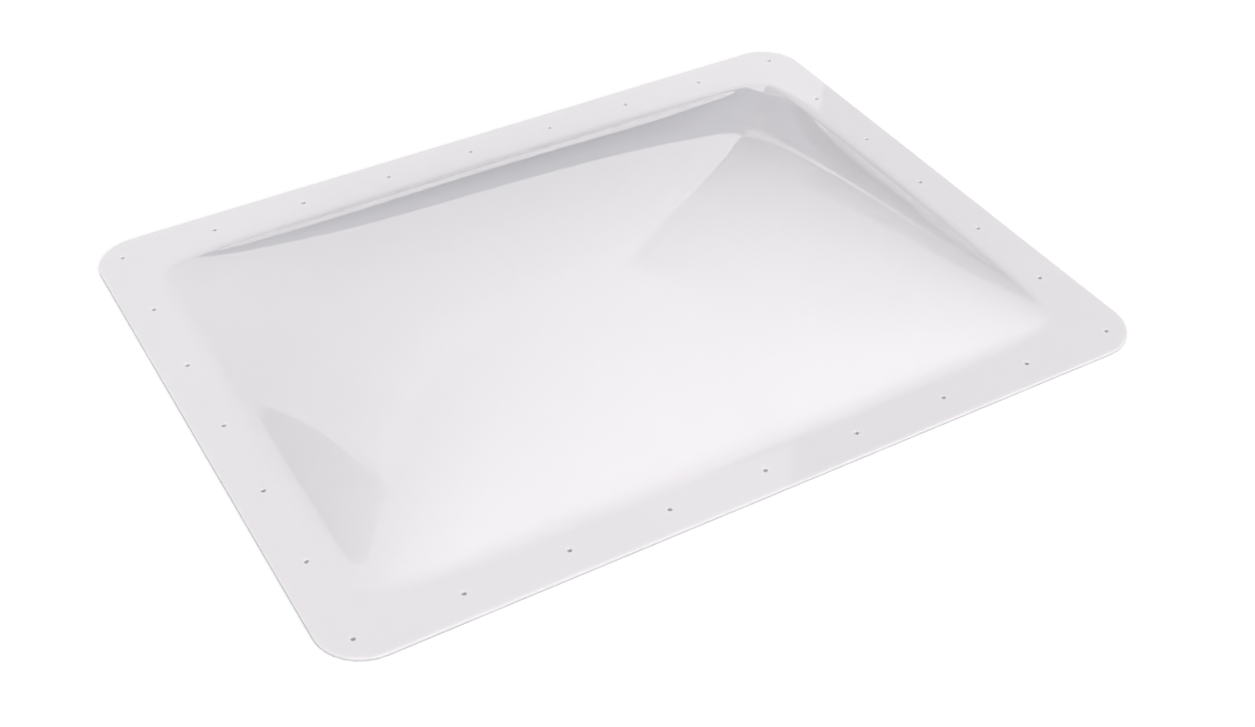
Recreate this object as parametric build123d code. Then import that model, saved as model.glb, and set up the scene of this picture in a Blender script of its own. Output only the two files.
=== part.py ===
from build123d import *

import math
import os

# A roof skylight for a caravan or camper: one sheet of translucent white
# polycarbonate. The sheet is clamped round its margin, heated, and blown up
# through a rectangular opening, so that it keeps a flat flange all round a
# free-blown dome. The flange is then trimmed and drilled for the roof screws.
# Frame: millimetres, +Z up, +X along the long side. The origin is the middle
# of the flange's underside, which is the face that lies on the roof.

INCH = 25.4

# The sheet: full thickness in the flange, drawn thinnest at the crown.
SHEET = 3.0
CROWN_SHEET = 2.3

# The row of screw holes, one pitch apart along all four sides.
SCREW_PITCH = 4 * INCH
LONG_SIDE_HOLES = 9
SHORT_SIDE_HOLES = 7
SCREW_HOLE = 3 / 16 * INCH

# The flange, trimmed with round corners outside the row of holes.
EDGE_TO_HOLES = 1.125 * INCH
FLANGE_CORNER = 1.875 * INCH
EDGE_ROUNDING = 0.8

# The opening of the blowing clamp, made for roof openings of 30 by 22 inches,
# and how far the sheet rises through it.
OPENING_LENGTH = 772.0
OPENING_WIDTH = 552.0
RISE = 88.0

# The clamp's corners are round. This share of the rise sets how round.
CORNER_SHARE = 0.02

# Near the four corners the sheet stands this share of the rise fuller than a
# soap film would, most of all at this distance from both sides of the opening.
CORNER_FULLNESS = 0.031
CORNER_REACH = 68.0

# The sheet turns up from the flange in a soft bend, with this inside radius.
FOOT_BEND = 41.0

# How closely the curved faces follow the blown form.
SERIES_TERMS = 20
STATIONS_LONG = 61
STATIONS_WIDE = 45
SURFACE_TOLERANCE = 0.01

HALF_LENGTH = OPENING_LENGTH / 2
HALF_WIDTH = OPENING_WIDTH / 2
HOLE_SPAN_X = (LONG_SIDE_HOLES - 1) * SCREW_PITCH
HOLE_SPAN_Y = (SHORT_SIDE_HOLES - 1) * SCREW_PITCH
FLANGE_LENGTH = HOLE_SPAN_X + 2 * EDGE_TO_HOLES
FLANGE_WIDTH = HOLE_SPAN_Y + 2 * EDGE_TO_HOLES


def stretched_cosh_ratio(k, x, half):
    """cosh(kx) / cosh(k half), written so that it never overflows."""
    rising = math.exp(k * (abs(x) - half))
    falling = math.exp(-k * (abs(x) + half))
    return (rising + falling) / (1 + math.exp(-2 * k * half))


def membrane(x, y):
    """Height, to no scale, of a membrane blown through a rectangular opening."""
    height = HALF_WIDTH**2 - y**2
    for term in range(SERIES_TERMS):
        odd = 2 * term + 1
        k = odd * math.pi / (2 * HALF_WIDTH)
        size = 32 * HALF_WIDTH**2 / (math.pi * odd) ** 3
        ridge = (-1) ** term * math.cos(k * y)
        height -= size * ridge * stretched_cosh_ratio(k, x, HALF_LENGTH)
    return height


MEMBRANE_CROWN = membrane(0, 0)


def corner_fullness(x, y):
    """0 along the sides of the opening, 1 where the corner is fullest, and fading out inwards."""
    across = (HALF_LENGTH - abs(x)) / CORNER_REACH
    along = (HALF_WIDTH - abs(y)) / CORNER_REACH
    return across * along * math.exp(1 - (across**2 + along**2) / 2)


def share_of_rise(x, y):
    """0 along the round-cornered foot of the dome, and 1 at its crown.

    A membrane cut off a little above its rim is still a blown membrane, whose
    opening is the round-cornered outline along which it was cut.
    """
    share = membrane(x, y) / MEMBRANE_CROWN + CORNER_FULLNESS * corner_fullness(x, y)
    return (share - CORNER_SHARE) / (1 - CORNER_SHARE)


def stations(half, count):
    """Places from -half to +half that crowd together towards the foot."""
    return [-half * math.cos(math.pi * i / (count - 1)) for i in range(count)]


def below_blown_face(foot_z, rise):
    """Everything under one skin of the dome, down to well below the flange."""
    points = [
        [(x, y, foot_z + rise * share_of_rise(x, y)) for y in stations(HALF_WIDTH, STATIONS_WIDE)]
        for x in stations(HALF_LENGTH, STATIONS_LONG)
    ]
    skin = Face.make_surface_from_array_of_points(
        points, tol=SURFACE_TOLERANCE, min_deg=3, max_deg=5
    )
    return Solid.extrude(skin, Vector(0, 0, -2 * RISE))


def above_roof():
    """The half of space that the skylight may fill."""
    return Box(
        2 * FLANGE_LENGTH,
        2 * FLANGE_WIDTH,
        2 * RISE,
        align=(Align.CENTER, Align.CENTER, Align.MIN),
    )


def foot_edge(body, z):
    """The one closed edge where a skin of the dome meets the flange at height z."""
    edges = body.edges().filter_by(GeomType.BSPLINE)
    return [edge for edge in edges if abs(edge.center().Z - z) < SHEET / 4]


def hole_centres():
    """Screw holes one pitch apart round the flange, each corner counted once."""
    xs = [(i - (LONG_SIDE_HOLES - 1) / 2) * SCREW_PITCH for i in range(LONG_SIDE_HOLES)]
    ys = [(i - (SHORT_SIDE_HOLES - 1) / 2) * SCREW_PITCH for i in range(SHORT_SIDE_HOLES)]
    long_sides = [(x, y) for x in xs for y in (ys[0], ys[-1])]
    short_sides = [(x, y) for y in ys[1:-1] for x in (xs[0], xs[-1])]
    return long_sides + short_sides


def skylight_dome():
    """The one formed sheet: flat flange, blown dome and row of screw holes."""
    flange = extrude(RectangleRounded(FLANGE_LENGTH, FLANGE_WIDTH, FLANGE_CORNER), SHEET)
    dome = below_blown_face(SHEET, RISE) & above_roof()
    hollow = below_blown_face(0, RISE + SHEET - CROWN_SHEET)
    sheet = flange + dome - hollow

    # The two skins turn round the same bend, so the under one is a sheet wider.
    sheet = sheet.fillet(FOOT_BEND, foot_edge(sheet, SHEET))
    sheet = sheet.fillet(FOOT_BEND + SHEET, foot_edge(sheet, 0))

    # The trimmed edge is scraped, which takes its top corner off.
    outline = [
        edge
        for edge in sheet.edges()
        if edge.bounding_box().min.Z > SHEET / 2 and edge.geom_type != GeomType.BSPLINE
    ]
    sheet = sheet.fillet(EDGE_ROUNDING, outline)

    drills = [Pos(x, y, 0) * Cylinder(SCREW_HOLE / 2, 4 * SHEET) for x, y in hole_centres()]
    return sheet - drills


os.makedirs("parts", exist_ok=True)
export_step(skylight_dome(), "parts/skylight_dome.step")
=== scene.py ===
import math

import bpy
import numpy as np
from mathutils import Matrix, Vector


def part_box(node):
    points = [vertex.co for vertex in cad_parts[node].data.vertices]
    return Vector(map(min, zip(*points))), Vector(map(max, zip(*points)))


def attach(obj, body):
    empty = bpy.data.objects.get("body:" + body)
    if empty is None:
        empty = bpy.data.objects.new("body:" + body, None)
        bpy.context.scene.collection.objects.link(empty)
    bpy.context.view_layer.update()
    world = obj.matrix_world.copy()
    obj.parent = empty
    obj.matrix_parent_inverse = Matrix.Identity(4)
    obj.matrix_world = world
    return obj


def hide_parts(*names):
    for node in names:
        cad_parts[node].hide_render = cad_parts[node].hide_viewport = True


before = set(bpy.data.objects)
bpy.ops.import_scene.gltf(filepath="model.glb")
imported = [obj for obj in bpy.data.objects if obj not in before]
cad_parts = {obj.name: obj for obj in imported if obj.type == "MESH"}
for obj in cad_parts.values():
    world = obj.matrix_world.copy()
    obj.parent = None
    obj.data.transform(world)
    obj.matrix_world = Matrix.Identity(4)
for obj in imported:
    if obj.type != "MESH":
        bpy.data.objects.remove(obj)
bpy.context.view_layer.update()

# The formed sheet is the whole skylight: one sheet of opal white polycarbonate.
# It is clamped round a rectangular opening, heated and blown up into a dome,
# then trimmed with round corners, scraped along the cut and drilled for screws.

INCH = 0.0254
SHEET = 0.0030
CROWN_SHEET = 0.0023
EDGE_ROUNDING = 0.0008
FLANGE_CORNER = 1.875 * INCH

sheet_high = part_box("skylight_dome")[1]
HALF_LONG = sheet_high[0]
HALF_WIDE = sheet_high[1]
RISE = sheet_high[2] - SHEET
CORNER_X = HALF_LONG - FLANGE_CORNER
CORNER_Y = HALF_WIDE - FLANGE_CORNER

# The screw holes, counted in pitches from the middle of a side to its corner hole.
PITCH = 4 * INCH
PITCHES_LONG = 4
PITCHES_WIDE = 3
HOLE_RADIUS = 3 / 32 * INCH
HOLE_ARRIS = 0.0001

# The opening of the blowing clamp, and the form that the sheet takes in it.
HALF_OPENING_LONG = 0.3860
HALF_OPENING_WIDE = 0.2760
SERIES_TERMS = 20
CORNER_SHARE = 0.020
CORNER_FULLNESS = 0.031
CORNER_REACH = 0.068
FOOT_BEND = 0.041
SLOPE_STEP = 0.00005
LEAST_SLOPE = 1e-6


def membrane(x, y):
    """Height, to no scale, of a membrane blown through the clamp's rectangular opening."""
    height = HALF_OPENING_WIDE**2 - y**2
    for term in range(SERIES_TERMS):
        odd = 2 * term + 1
        k = odd * math.pi / (2 * HALF_OPENING_WIDE)
        size = 32 * HALF_OPENING_WIDE**2 / (math.pi * odd) ** 3
        rising = np.exp(k * (np.abs(x) - HALF_OPENING_LONG))
        falling = np.exp(-k * (np.abs(x) + HALF_OPENING_LONG))
        ratio = (rising + falling) / (1 + math.exp(-2 * k * HALF_OPENING_LONG))
        height = height - size * (-1) ** term * np.cos(k * y) * ratio
    return height


def share_of_rise(x, y):
    """0 along the dome's round-cornered foot and 1 at its crown, a little fuller near its corners."""
    across = (HALF_OPENING_LONG - np.abs(x)) / CORNER_REACH
    along = (HALF_OPENING_WIDE - np.abs(y)) / CORNER_REACH
    fullness = across * along * np.exp(1 - (across**2 + along**2) / 2)
    share = membrane(x, y) / membrane(0.0, 0.0) + CORNER_FULLNESS * fullness
    return (share - CORNER_SHARE) / (1 - CORNER_SHARE)


def blown_height(x, y):
    """How far the sheet stands off the flange, with a ball rolled along the dome's foot as its bend."""
    limit_x = HALF_OPENING_LONG - 2 * SLOPE_STEP
    limit_y = HALF_OPENING_WIDE - 2 * SLOPE_STEP
    inner_x = np.clip(x, -limit_x, limit_x)
    inner_y = np.clip(y, -limit_y, limit_y)
    change_x = share_of_rise(inner_x + SLOPE_STEP, inner_y) - share_of_rise(inner_x - SLOPE_STEP, inner_y)
    change_y = share_of_rise(inner_x, inner_y + SLOPE_STEP) - share_of_rise(inner_x, inner_y - SLOPE_STEP)
    slope = np.maximum(RISE * np.hypot(change_x, change_y) / (2 * SLOPE_STEP), LEAST_SLOPE)
    height = RISE * share_of_rise(inner_x, inner_y)
    height = height - slope * np.hypot(x - inner_x, y - inner_y)

    angle = np.arctan(slope)
    reach = FOOT_BEND * np.tan(angle / 2)
    run = np.clip(reach + height / slope, 0, FOOT_BEND)
    bend = FOOT_BEND - np.sqrt(FOOT_BEND**2 - run**2)
    blown = np.where(height / slope < reach * np.cos(angle), bend, height)
    return np.where(height / slope < -reach, 0.0, blown)


# The mesh has a square block of cells round each hole, and finer cells at the foot and the rim.
BLOCK = 0.008
BLOCK_CELLS = 6
DOME_CELLS = 12
SLOPE_CELLS = 8
FOOT_CELLS = 34
RIM_CELLS = 6
ROUNDING_CELLS = 4
RIM_START = 1.5 * EDGE_ROUNDING


def grid_lines(half, half_opening, pitches):
    """Lines of the mesh along one axis, from one trimmed edge to the other."""
    lines = [BLOCK * i / (BLOCK_CELLS / 2) for i in range(BLOCK_CELLS // 2 + 1)]
    for hole in range(1, pitches + 1):
        start = lines[-1]
        end = hole * PITCH - BLOCK
        if hole == pitches:
            foot = half_opening - FOOT_BEND
            lines += [start + (foot - start) * i / SLOPE_CELLS for i in range(1, SLOPE_CELLS + 1)]
            lines += [foot + (end - foot) * i / FOOT_CELLS for i in range(1, FOOT_CELLS + 1)]
        else:
            lines += [start + (end - start) * i / DOME_CELLS for i in range(1, DOME_CELLS + 1)]
        lines += [end + 2 * BLOCK * i / BLOCK_CELLS for i in range(1, BLOCK_CELLS + 1)]
    start = lines[-1]
    end = half - RIM_START
    lines += [start + (end - start) * i / RIM_CELLS for i in range(1, RIM_CELLS + 1)]
    turns = [math.pi / 2 * i / ROUNDING_CELLS for i in range(ROUNDING_CELLS + 1)]
    lines += [half - EDGE_ROUNDING * (1 - math.sin(turn)) for turn in turns]
    return [-line for line in reversed(lines[1:])] + lines


ROOT_2 = math.sqrt(2)


def round_corner(x, y):
    """Bends the lines of a corner, from straight ones at its screw hole to an arc at the trimmed edge."""
    u = abs(x) - CORNER_X
    v = abs(y) - CORNER_Y
    line = max(u, v)
    square = PITCHES_LONG * PITCH + BLOCK - CORNER_X
    if min(u, v) <= 0 or line <= square:
        return x, y
    outwards = (line - square) / (FLANGE_CORNER - square)
    diagonal = ROOT_2 * square + outwards * (FLANGE_CORNER - ROOT_2 * square)
    roundness = (ROOT_2 * line - diagonal) / ((ROOT_2 - 1) * line)
    angle = math.pi / 4 * min(u, v) / line
    arc = (line * math.cos(angle), line * math.sin(angle))
    if v > u:
        arc = (arc[1], arc[0])
    u += roundness * (arc[0] - u)
    v += roundness * (arc[1] - v)
    return math.copysign(CORNER_X + u, x), math.copysign(CORNER_Y + v, y)


def hole_centres():
    """Screw holes one pitch apart round the flange, each corner counted once."""
    long_range = range(-PITCHES_LONG, PITCHES_LONG + 1)
    short_range = range(1 - PITCHES_WIDE, PITCHES_WIDE)
    long_sides = [(i * PITCH, j * PITCH) for i in long_range for j in (-PITCHES_WIDE, PITCHES_WIDE)]
    short_sides = [(i * PITCH, j * PITCH) for i in (-PITCHES_LONG, PITCHES_LONG) for j in short_range]
    return long_sides + short_sides


# Each block closes in on its hole in these rings, which start at the block's low corner.
HOLE_RINGS = (0.0055, 0.0038, HOLE_RADIUS + 2 * HOLE_ARRIS, HOLE_RADIUS + HOLE_ARRIS, HOLE_RADIUS)
RING_START = -3 * math.pi / 4
FAR_FROM_EDGE = 1.0


def sheet_plan():
    """The sheet from above: points (x, y, inset from the trimmed edge), quads, and each hole's rim."""
    xs = grid_lines(HALF_LONG, HALF_OPENING_LONG, PITCHES_LONG)
    ys = grid_lines(HALF_WIDE, HALF_OPENING_WIDE, PITCHES_WIDE)
    points = []
    number = {}
    for i, x in enumerate(xs):
        for j, y in enumerate(ys):
            number[i, j] = len(points)
            inset = min(HALF_LONG - abs(x), HALF_WIDE - abs(y))
            points.append((*round_corner(x, y), inset))

    blocks = {}
    for x, y in hole_centres():
        low_i = min(range(len(xs)), key=lambda i: abs(xs[i] - (x - BLOCK)))
        low_j = min(range(len(ys)), key=lambda j: abs(ys[j] - (y - BLOCK)))
        blocks[x, y] = (low_i, low_j)
    drilled = {
        (low_i + i, low_j + j)
        for low_i, low_j in blocks.values()
        for i in range(BLOCK_CELLS)
        for j in range(BLOCK_CELLS)
    }
    quads = [
        (number[i, j], number[i + 1, j], number[i + 1, j + 1], number[i, j + 1])
        for i in range(len(xs) - 1)
        for j in range(len(ys) - 1)
        if (i, j) not in drilled
    ]

    rims = []
    for (x, y), (i, j) in blocks.items():
        side = range(BLOCK_CELLS)
        loop = [number[i + k, j] for k in side]
        loop += [number[i + BLOCK_CELLS, j + k] for k in side]
        loop += [number[i + BLOCK_CELLS - k, j + BLOCK_CELLS] for k in side]
        loop += [number[i, j + BLOCK_CELLS - k] for k in side]
        for radius in HOLE_RINGS:
            ring = list(range(len(points), len(points) + len(loop)))
            for k in range(len(loop)):
                turn = RING_START + 2 * math.pi * k / len(loop)
                points.append((x + radius * math.cos(turn), y + radius * math.sin(turn), FAR_FROM_EDGE))
            ring_after = ring[1:] + ring[:1]
            loop_after = loop[1:] + loop[:1]
            quads += list(zip(loop, loop_after, ring_after, ring))
            loop = ring
        rims.append(loop)
    return points, quads, rims


CUT_INSET = 0.9 * EDGE_ROUNDING
CUT_SLOT = 1


def sheet_mesh():
    """Both skins of the sheet, its trimmed edge and the walls of its holes, as one closed mesh."""
    points, quads, rims = sheet_plan()
    plan = np.array(points)
    stand_off = blown_height(plan[:, 0], plan[:, 1])
    within_x = np.clip(plan[:, 0], -HALF_OPENING_LONG, HALF_OPENING_LONG)
    within_y = np.clip(plan[:, 1], -HALF_OPENING_WIDE, HALF_OPENING_WIDE)
    drawn = np.clip(share_of_rise(within_x, within_y), 0, 1)
    scraped = np.clip(EDGE_ROUNDING - plan[:, 2], 0, EDGE_ROUNDING)
    scrape = EDGE_ROUNDING - np.sqrt(EDGE_ROUNDING**2 - scraped**2)
    top = stand_off + SHEET - scrape
    under = stand_off + (SHEET - CROWN_SHEET) * drawn
    for rim in rims:
        top[rim] -= HOLE_ARRIS

    count = len(points)
    vertices = [(p[0], p[1], z) for p, z in zip(points, top)]
    vertices += [(p[0], p[1], z) for p, z in zip(points, under)]
    sides = {(quad[k], quad[(k + 1) % 4]) for quad in quads for k in range(4)}
    walls = sorted((b, a, count + a, count + b) for a, b in sides if (b, a) not in sides)
    under_quads = [tuple(count + v for v in reversed(quad)) for quad in quads]
    mesh = bpy.data.meshes.new("formed_sheet")
    mesh.from_pydata(vertices, [], quads + under_quads + walls)

    rim_points = {point for rim in rims for point in rim}
    cut = [
        k for k, quad in enumerate(quads)
        if min(points[v][2] for v in quad) < CUT_INSET or rim_points & set(quad)
    ]
    cut += range(2 * len(quads), 2 * len(quads) + len(walls))
    for k in cut:
        mesh.polygons[k].material_index = CUT_SLOT
    return mesh


def shader_group(name, inputs, outputs):
    """A node group with named sockets, and its inner input and output nodes."""
    group = bpy.data.node_groups.new(name, "ShaderNodeTree")
    for label, kind, value in inputs:
        group.interface.new_socket(label, in_out="INPUT", socket_type=kind).default_value = value
    for label, kind in outputs:
        group.interface.new_socket(label, in_out="OUTPUT", socket_type=kind)
    return group, group.nodes.new("NodeGroupInput"), group.nodes.new("NodeGroupOutput")


def add_node(tree, kind, **settings):
    """A node with its settings; a setting named after an input socket fills that socket."""
    node = tree.nodes.new(kind)
    for name, value in settings.items():
        if hasattr(node, name):
            setattr(node, name, value)
        else:
            node.inputs[name.replace("_", " ")].default_value = value
    return node


def color_mix(tree, blend_type, first, second):
    """A Mix node fed with two colours, which are its inputs 6 and 7, and its mixed colour, output 2."""
    blend = add_node(tree, "ShaderNodeMix", data_type="RGBA", blend_type=blend_type)
    tree.links.new(first, blend.inputs[6])
    tree.links.new(second, blend.inputs[7])
    return blend, blend.outputs[2]


COLOR = "NodeSocketColor"
NUMBER = "NodeSocketFloat"
PLAIN_WHITE = (0.8, 0.8, 0.8, 1)


def milkiness_group():
    """The opal filler is never mixed quite evenly: slow clouds of a slightly different white."""
    group, given, result = shader_group(
        "milkiness",
        [("White", COLOR, PLAIN_WHITE), ("Cloud", COLOR, PLAIN_WHITE), ("Scale", NUMBER, 9.0)],
        [("Color", COLOR)],
    )
    place = add_node(group, "ShaderNodeTexCoord")
    clouds = add_node(group, "ShaderNodeTexNoise", Detail=3.0, Roughness=0.45)
    contrast = add_node(group, "ShaderNodeMapRange", From_Min=0.32, From_Max=0.68)
    blend, mixed = color_mix(group, "MIX", given.outputs["White"], given.outputs["Cloud"])
    group.links.new(place.outputs["Object"], clouds.inputs["Vector"])
    group.links.new(given.outputs["Scale"], clouds.inputs["Scale"])
    group.links.new(clouds.outputs["Fac"], contrast.inputs["Value"])
    group.links.new(contrast.outputs["Result"], blend.inputs["Factor"])
    group.links.new(mixed, result.inputs["Color"])
    return group


def wear_group():
    """Hairlines and handling marks: patches where the surface has gone a little duller."""
    group, given, result = shader_group(
        "handling_wear",
        [("Clean", NUMBER, 0.05), ("Dull", NUMBER, 0.12), ("Scale", NUMBER, 30.0)],
        [("Roughness", NUMBER)],
    )
    place = add_node(group, "ShaderNodeTexCoord")
    stretch = add_node(group, "ShaderNodeMapping")
    stretch.inputs["Scale"].default_value = (1.0, 6.0, 1.0)
    stretch.inputs["Rotation"].default_value = (0.0, 0.0, math.radians(24))
    hairlines = add_node(group, "ShaderNodeTexNoise", Detail=6.0, Roughness=0.7)
    patches = add_node(group, "ShaderNodeTexNoise", Scale=5.0, Detail=4.0)
    marks = add_node(group, "ShaderNodeMath", operation="MULTIPLY")
    spread = add_node(group, "ShaderNodeMapRange", From_Min=0.2, From_Max=0.42)
    group.links.new(place.outputs["Object"], stretch.inputs["Vector"])
    group.links.new(stretch.outputs["Vector"], hairlines.inputs["Vector"])
    group.links.new(given.outputs["Scale"], hairlines.inputs["Scale"])
    group.links.new(place.outputs["Object"], patches.inputs["Vector"])
    group.links.new(hairlines.outputs["Fac"], marks.inputs[0])
    group.links.new(patches.outputs["Fac"], marks.inputs[1])
    group.links.new(marks.outputs[0], spread.inputs["Value"])
    group.links.new(given.outputs["Clean"], spread.inputs["To Min"])
    group.links.new(given.outputs["Dull"], spread.inputs["To Max"])
    group.links.new(spread.outputs["Result"], result.inputs["Roughness"])
    return group


def placed_group(tree, group, **values):
    """A node group placed in a material's tree with its own values."""
    node = tree.nodes.new("ShaderNodeGroup")
    node.node_tree = group
    for name, value in values.items():
        node.inputs[name].default_value = value
    return node


def opal_material(name):
    """Opal polycarbonate, which scatters light inside itself."""
    material = bpy.data.materials.new(name)
    material.use_nodes = True
    surface = material.node_tree.nodes["Principled BSDF"]
    surface.inputs["IOR"].default_value = 1.586
    surface.inputs["Subsurface Weight"].default_value = 1.0
    surface.inputs["Subsurface Radius"].default_value = (1.0, 0.95, 0.98)
    surface.inputs["Subsurface Scale"].default_value = 0.004
    return material


def finish_surface(tree, white, marks, relief, skin):
    """Gives the surface its clouded white, its duller places, and its relief as a bump."""
    surface = tree.nodes["Principled BSDF"]
    tree.links.new(white.outputs["Color"], surface.inputs["Base Color"])
    tree.links.new(marks.outputs["Roughness"], surface.inputs["Roughness"])
    tree.links.new(relief.outputs["Fac"], skin.inputs["Height"])
    tree.links.new(skin.outputs["Normal"], surface.inputs["Normal"])


def opal_gloss(milkiness, wear):
    """The two skins as they leave the oven: glossy and faintly wavy, with a few handling marks."""
    material = opal_material("opal_polycarbonate")
    tree = material.node_tree
    white = placed_group(
        tree, milkiness, White=(0.786, 0.758, 0.783, 1), Cloud=(0.773, 0.750, 0.774, 1), Scale=7.0
    )
    marks = placed_group(tree, wear, Clean=0.012, Dull=0.045, Scale=60.0)
    place = add_node(tree, "ShaderNodeTexCoord")
    waves = add_node(tree, "ShaderNodeTexNoise", Scale=55.0, Detail=2.0, Roughness=0.4)
    skin = add_node(tree, "ShaderNodeBump", Strength=0.25, Distance=0.00002)
    tree.links.new(place.outputs["Object"], waves.inputs["Vector"])
    finish_surface(tree, white, marks, waves, skin)
    return material


def sawn_and_shaded_edge(milkiness, wear):
    """The trimmed and scraped edge and the drilled holes: matt, with fine upright tool marks, and a
    slightly darker white that is painted shade.
    """
    material = opal_material("sawn_polycarbonate_and_painted_shade")
    tree = material.node_tree
    # Its white is a little darker than the glossy skins' white: painted shade along the trimmed edge and
    # in the holes.
    white = placed_group(
        tree, milkiness, White=(0.745, 0.722, 0.745, 1), Cloud=(0.725, 0.702, 0.725, 1), Scale=60.0
    )
    marks = placed_group(tree, wear, Clean=0.35, Dull=0.6, Scale=200.0)
    place = add_node(tree, "ShaderNodeTexCoord")
    upright = add_node(tree, "ShaderNodeMapping")
    upright.inputs["Scale"].default_value = (1.0, 1.0, 0.04)
    teeth = add_node(tree, "ShaderNodeTexNoise", Scale=1400.0, Detail=2.0)
    skin = add_node(tree, "ShaderNodeBump", Strength=0.6, Distance=0.0001)
    tree.links.new(place.outputs["Object"], upright.inputs["Vector"])
    tree.links.new(upright.outputs["Vector"], teeth.inputs["Vector"])
    finish_surface(tree, white, marks, teeth, skin)
    return material


SHARPEST_SMOOTH = math.radians(50)

formed_mesh = sheet_mesh()
formed_mesh.shade_smooth()
formed_mesh.set_sharp_from_angle(angle=SHARPEST_SMOOTH)
opal_milkiness = milkiness_group()
handling_wear = wear_group()
formed_mesh.materials.append(opal_gloss(opal_milkiness, handling_wear))
formed_mesh.materials.append(sawn_and_shaded_edge(opal_milkiness, handling_wear))
formed_sheet = bpy.data.objects.new("formed_sheet", formed_mesh)
bpy.context.scene.collection.objects.link(formed_sheet)
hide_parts("skylight_dome")
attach(formed_sheet, "root")

# The floor is a plain white table, painted, and it keeps the sheet's soft shadow.
# It shows white to the camera, and from below it can be looked through.
# Under the sheet its paint is darker and is not lifted for the camera: painted shade, so that the screw
# holes look dark.

FLOOR_HALF = 8.0
FLOOR_Z = -0.0004
FLOOR_LIFT = 0.245
COVERED_RAISE = 0.0001
CORNER_STEPS = 8
FOUR_CORNERS = ((-1, -1), (1, -1), (1, 1), (-1, 1))


def table_paint(name, color, lift_strength):
    """Matt paint that shows lighter to the camera than it is, and is see-through from below."""
    paint = bpy.data.materials.new(name)
    paint.use_nodes = True
    tree = paint.node_tree
    tree.nodes.clear()
    shown = tree.nodes.new("ShaderNodeOutputMaterial")
    matt = add_node(tree, "ShaderNodeBsdfDiffuse", Color=color)
    lift = add_node(tree, "ShaderNodeEmission")
    path = add_node(tree, "ShaderNodeLightPath")
    strength = add_node(tree, "ShaderNodeMath", operation="MULTIPLY")
    strength.inputs[1].default_value = lift_strength
    lifted = add_node(tree, "ShaderNodeAddShader")
    clear = add_node(tree, "ShaderNodeBsdfTransparent")
    side = add_node(tree, "ShaderNodeNewGeometry")
    sided = add_node(tree, "ShaderNodeMixShader")
    tree.links.new(path.outputs["Is Camera Ray"], strength.inputs[0])
    tree.links.new(strength.outputs[0], lift.inputs["Strength"])
    tree.links.new(matt.outputs[0], lifted.inputs[0])
    tree.links.new(lift.outputs[0], lifted.inputs[1])
    tree.links.new(side.outputs["Backfacing"], sided.inputs["Fac"])
    tree.links.new(lifted.outputs[0], sided.inputs[1])
    tree.links.new(clear.outputs[0], sided.inputs[2])
    tree.links.new(sided.outputs[0], shown.inputs["Surface"])
    return paint


def table_area(name, outline, height, paint):
    """A flat piece of the table inside an outline."""
    mesh = bpy.data.meshes.new(name)
    mesh.from_pydata([(x, y, height) for x, y in outline], [], [range(len(outline))])
    mesh.materials.append(paint)
    area = bpy.data.objects.new(name, mesh)
    bpy.context.scene.collection.objects.link(area)
    area.visible_glossy = False


floor_outline = [(FLOOR_HALF * x, FLOOR_HALF * y) for x, y in FOUR_CORNERS]
white_table = table_paint("white_table", (0.76, 0.76, 0.76, 1), FLOOR_LIFT)
table_area("floor", floor_outline, FLOOR_Z, white_table)

covered_outline = []
for quarter in range(4):
    turns = [math.pi / 2 * (quarter + step / CORNER_STEPS) for step in range(CORNER_STEPS + 1)]
    middle_turn = turns[CORNER_STEPS // 2]
    centre_x = math.copysign(CORNER_X, math.cos(middle_turn))
    centre_y = math.copysign(CORNER_Y, math.sin(middle_turn))
    covered_outline += [
        (centre_x + FLANGE_CORNER * math.cos(turn), centre_y + FLANGE_CORNER * math.sin(turn))
        for turn in turns
    ]
# The darker paint where the sheet lies is painted shade of the sheet, not the table's own colour.
painted_shade_table = table_paint("painted_shade_table", (0.55, 0.54, 0.55, 1), 0.0)
table_area("covered_floor", covered_outline, FLOOR_Z + COVERED_RAISE, painted_shade_table)

# The light is plain and even, with one broad soft window light from the near side.
# The background is white. The ceiling is seen only in the sheet's gloss, where its
# right part is brighter than its left part.

AMBIENT = 0.71
BACKGROUND = 1.0
CEILING_LEFT = 1.00
CEILING_RIGHT = 1.45
CEILING_LEFT_END = -0.05
CEILING_RIGHT_END = 0.25
KEY_STRENGTH = 1.71
KEY_SIDEWAYS = 0.04
KEY_ELEVATION = math.radians(35)
KEY_SOFTNESS = math.radians(50)

world = bpy.data.worlds.new("studio")
bpy.context.scene.world = world
world.use_nodes = True
world_tree = world.node_tree
world_tree.nodes.clear()
world_shown = world_tree.nodes.new("ShaderNodeOutputWorld")
ray_kind = add_node(world_tree, "ShaderNodeLightPath")
ambient = add_node(world_tree, "ShaderNodeBackground", Strength=AMBIENT)
ceiling = add_node(world_tree, "ShaderNodeBackground")
background = add_node(world_tree, "ShaderNodeBackground", Strength=BACKGROUND)
for layer in (ambient, ceiling, background):
    layer.inputs["Color"].default_value = (1, 1, 1, 1)
direction = add_node(world_tree, "ShaderNodeTexCoord")
sideways_part = add_node(world_tree, "ShaderNodeSeparateXYZ")
brighter = add_node(
    world_tree, "ShaderNodeMapRange",
    From_Min=CEILING_LEFT_END, From_Max=CEILING_RIGHT_END, To_Min=CEILING_LEFT, To_Max=CEILING_RIGHT,
)
world_tree.links.new(direction.outputs["Generated"], sideways_part.inputs[0])
world_tree.links.new(sideways_part.outputs["X"], brighter.inputs["Value"])
world_tree.links.new(brighter.outputs["Result"], ceiling.inputs["Strength"])
seen = ambient
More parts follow.
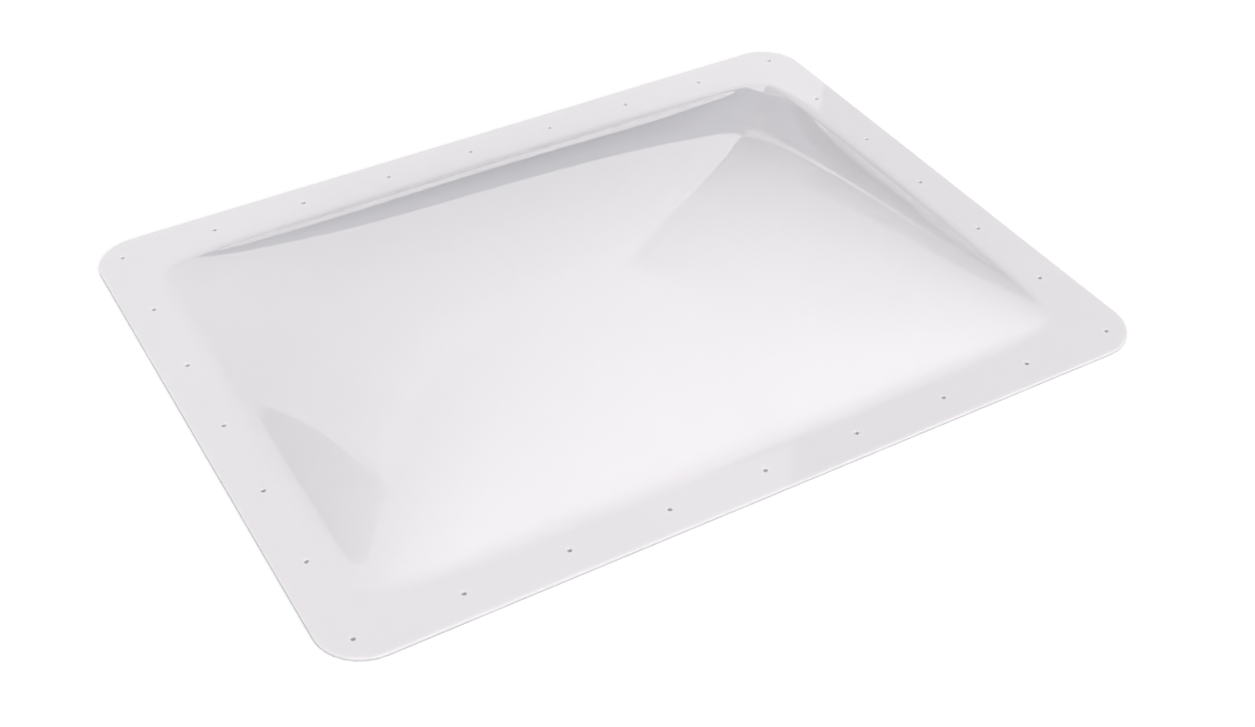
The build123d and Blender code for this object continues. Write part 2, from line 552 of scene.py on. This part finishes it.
for layer, ray in ((ceiling, "Is Glossy Ray"), (background, "Is Camera Ray")):
    choice = add_node(world_tree, "ShaderNodeMixShader")
    world_tree.links.new(ray_kind.outputs[ray], choice.inputs["Fac"])
    world_tree.links.new(seen.outputs[0], choice.inputs[1])
    world_tree.links.new(layer.outputs[0], choice.inputs[2])
    seen = choice
world_tree.links.new(seen.outputs[0], world_shown.inputs["Surface"])

key = bpy.data.lights.new("window_light", "SUN")
key.energy = KEY_STRENGTH
key.angle = KEY_SOFTNESS
key_lamp = bpy.data.objects.new("window_light", key)
key_direction = Vector((KEY_SIDEWAYS, math.cos(KEY_ELEVATION), -math.sin(KEY_ELEVATION)))
key_lamp.rotation_euler = key_direction.to_track_quat("-Z", "Y").to_euler()
key_lamp.visible_glossy = False
bpy.context.scene.collection.objects.link(key_lamp)

# The room round the table is seen only in the sheet's gloss. It has a white far wall with
# a dark skirting and a dark drape, a greyer right wall with a cupboard, and dark ground
# with a carpet. Each is a card that changes in brightness upwards and sideways.

ROOM_DISTANCE = 12.0
ROOM_AZIMUTH = math.radians(-8)
ROOM_HEIGHT = 21.0
ROOM_LEFT = -12.0
ROOM_RIGHT = 12.34
ROOM_DEPTH = 14.0
IN_FRONT = 0.1
UPWARDS_PEAK = 1.6
SIDEWAYS_PEAK = 1.4
EVEN = [(0.0, 1.0), (1.0, 1.0)]


def room_point(across, ahead, up):
    """A point of the room, measured along its far wall, towards that wall, and upwards."""
    x = across * math.cos(ROOM_AZIMUTH) + ahead * math.sin(ROOM_AZIMUTH)
    y = ahead * math.cos(ROOM_AZIMUTH) - across * math.sin(ROOM_AZIMUTH)
    return x, y, up


def rgb(shade):
    """Red, green and blue of a shade, which is a plain number where it is a grey."""
    return shade if isinstance(shade, tuple) else (shade, shade, shade)


def brightness_ramp(tree, share, steps, peak):
    """Shades given at shares of a card's height or width, as parts of the brightest that they may be."""
    ramp_node = add_node(tree, "ShaderNodeValToRGB")
    elements = ramp_node.color_ramp.elements
    while len(elements) < len(steps):
        elements.new(0.5)
    for element, (place, shade) in zip(elements, steps):
        element.position = place
        element.color = (*(part / peak for part in rgb(shade)), 1)
    tree.links.new(share, ramp_node.inputs["Fac"])
    return ramp_node.outputs["Color"]


def card(name, points, upwards, sideways=EVEN, faces=None):
    """A surface of the room, with its shades at shares of its height and of its width."""
    mesh = bpy.data.meshes.new(name)
    mesh.from_pydata(points, [], faces or [range(len(points))])
    surface = bpy.data.objects.new(name, mesh)
    bpy.context.scene.collection.objects.link(surface)
    material = bpy.data.materials.new(name)
    material.use_nodes = True
    tree = material.node_tree
    tree.nodes.clear()
    shown = tree.nodes.new("ShaderNodeOutputMaterial")
    glow = add_node(tree, "ShaderNodeEmission", Strength=UPWARDS_PEAK * SIDEWAYS_PEAK)
    place = add_node(tree, "ShaderNodeTexCoord")
    shares = add_node(tree, "ShaderNodeSeparateXYZ")
    tree.links.new(place.outputs["Generated"], shares.inputs[0])
    by_height = brightness_ramp(tree, shares.outputs["Z"], upwards, UPWARDS_PEAK)
    by_width = brightness_ramp(tree, shares.outputs["X"], sideways, SIDEWAYS_PEAK)
    product, shade = color_mix(tree, "MULTIPLY", by_height, by_width)
    product.inputs["Factor"].default_value = 1.0
    tree.links.new(shade, glow.inputs["Color"])
    tree.links.new(glow.outputs[0], shown.inputs["Surface"])
    mesh.materials.append(material)
    surface.visible_camera = False
    surface.visible_diffuse = False
    surface.visible_transmission = False
    surface.visible_shadow = False


def wall(name, start, end, upwards, sideways):
    """An upright wall of the room between two of its corners."""
    base = [room_point(*start, 0), room_point(*end, 0)]
    top = [room_point(*end, ROOM_HEIGHT), room_point(*start, ROOM_HEIGHT)]
    card(name, base + top, upwards, sideways)


def before_far_wall(name, outline, upwards, sideways=EVEN):
    """A surface just in front of the far wall, with its outline across and up that wall."""
    points = [room_point(across, ROOM_DISTANCE - IN_FRONT, up) for across, up in outline]
    card(name, points, upwards, sideways)


GROUND_Z = -0.01
BLUE_BLACK = (0.0, 0.0, 0.02)

far_right = (ROOM_RIGHT, ROOM_DISTANCE)
wall(
    "far_wall", (ROOM_LEFT, ROOM_DISTANCE), far_right,
    upwards=[
        (0.0, 0.98), (0.18, 1.01), (0.29, 1.07), (0.42, 1.21),
        (0.57, 1.22), (0.75, 1.32), (0.86, 1.51), (1.0, 1.50),
    ],
    sideways=[(0.0, 0.80), (0.37, 0.80), (0.43, 0.93), (0.47, 0.95), (0.56, 1.0), (1.0, 1.0)],
)
wall(
    "right_wall", far_right, (ROOM_RIGHT, ROOM_DISTANCE - ROOM_DEPTH),
    upwards=[
        (0.0, (0.12, 0.14, 0.19)), (0.045, (0.05, 0.07, 0.11)), (0.050, 0.60), (0.060, 0.60),
        (0.066, 0.18), (0.13, 0.33), (0.25, 0.42), (0.37, 0.54), (0.52, 0.74), (0.70, 0.84), (1.0, 1.00),
    ],
    sideways=[(0.0, 0.86), (0.08, 0.90), (0.19, 1.00), (0.31, 1.12), (0.50, 1.22), (1.0, 1.35)],
)
cupboard_outline = [(8.4, GROUND_Z), (-2.0, GROUND_Z), (-2.0, 4.0), (8.4, 4.0)]
card(
    "cupboard", [room_point(ROOM_RIGHT - IN_FRONT, ahead, up) for ahead, up in cupboard_outline],
    upwards=[
        (0.0, BLUE_BLACK), (0.24, (0.02, 0.03, 0.05)), (0.265, 0.65), (0.325, 0.65),
        (0.355, 0.08), (0.63, 0.14), (1.0, 0.23),
    ],
    sideways=[(0.0, 1.0), (0.14, 0.9), (0.24, 0.5), (1.0, 0.5)],
)
before_far_wall(
    "skirting",
    [
        (ROOM_RIGHT, 0.0), (ROOM_LEFT, 0.0), (ROOM_LEFT, 0.82), (4.0, 0.82),
        (9.4, 0.88), (11.3, 0.92), (ROOM_RIGHT, 1.25),
    ],
    upwards=[(0.0, (0.25, 0.28, 0.36)), (1.0, (0.22, 0.25, 0.33))],
    sideways=[(0.0, 1.0), (0.90, 1.0), (0.96, 0.85), (1.0, 0.65)],
)
before_far_wall(
    "drape",
    [
        (ROOM_LEFT, 7.5), (-6.02, 7.5), (-5.39, 7.63), (-5.19, 8.2), (-5.02, 9.15), (-4.9, 9.8),
        (-4.73, 10.5), (-4.61, 11.2), (-4.42, 12.0), (-4.16, 12.8), (-3.95, 13.6), (-3.66, 14.5),
        (-3.36, 15.5), (-3.07, 16.6), (-2.78, 17.7), (-2.58, 19.1), (-2.3, 20.5),
        (-2.2, ROOM_HEIGHT), (ROOM_LEFT, ROOM_HEIGHT),
    ],
    upwards=[(0.0, 0.0), (0.28, 0.0), (0.45, 0.15), (0.7, 0.22), (1.0, 0.30)],
)

# The ground leaves out the sheet's own place, and the carpet lies on it, to the right.
GROUND_INNER = (0.42, 0.32)
GROUND_OUTER = (30.0, 30.0)
GROUND_GREY = (0.26, 0.28, 0.32)
CARPET_Z = -0.009
CARPET_OUTLINE = ((0.57, 0.12), (18.0, 10.1), (14.5, 14.9), (0.57, 0.46))

ground = [
    (reach_x * x, reach_y * y, GROUND_Z)
    for reach_x, reach_y in (GROUND_INNER, GROUND_OUTER)
    for x, y in FOUR_CORNERS
]
card(
    "dark_ground", ground, upwards=[(0.0, GROUND_GREY), (1.0, GROUND_GREY)],
    faces=[(k, (k + 1) % 4, 4 + (k + 1) % 4, 4 + k) for k in range(4)],
)
card(
    "carpet", [(x, y, CARPET_Z) for x, y in CARPET_OUTLINE],
    upwards=[(0.0, BLUE_BLACK), (1.0, BLUE_BLACK)],
)

# The camera stands outside the skylight's near left corner, 1.1 m above the table,
# and looks down across it towards the far right.

CAMERA_PLACE = (-0.7058, -1.2777, 1.1252)
CAMERA_AZIMUTH = math.radians(29.954)
CAMERA_DOWN = math.radians(39.796)

camera_data = bpy.data.cameras.new("camera")
camera_data.lens = 51.51
camera_data.sensor_width = 36
camera = bpy.data.objects.new("camera", camera_data)
camera.location = CAMERA_PLACE
level = math.cos(CAMERA_DOWN)
look = Vector((math.sin(CAMERA_AZIMUTH) * level, math.cos(CAMERA_AZIMUTH) * level, -math.sin(CAMERA_DOWN)))
camera.rotation_euler = look.to_track_quat("-Z", "Y").to_euler()
bpy.context.scene.collection.objects.link(camera)
bpy.context.scene.camera = camera

bpy.context.scene.view_settings.view_transform = "Standard"
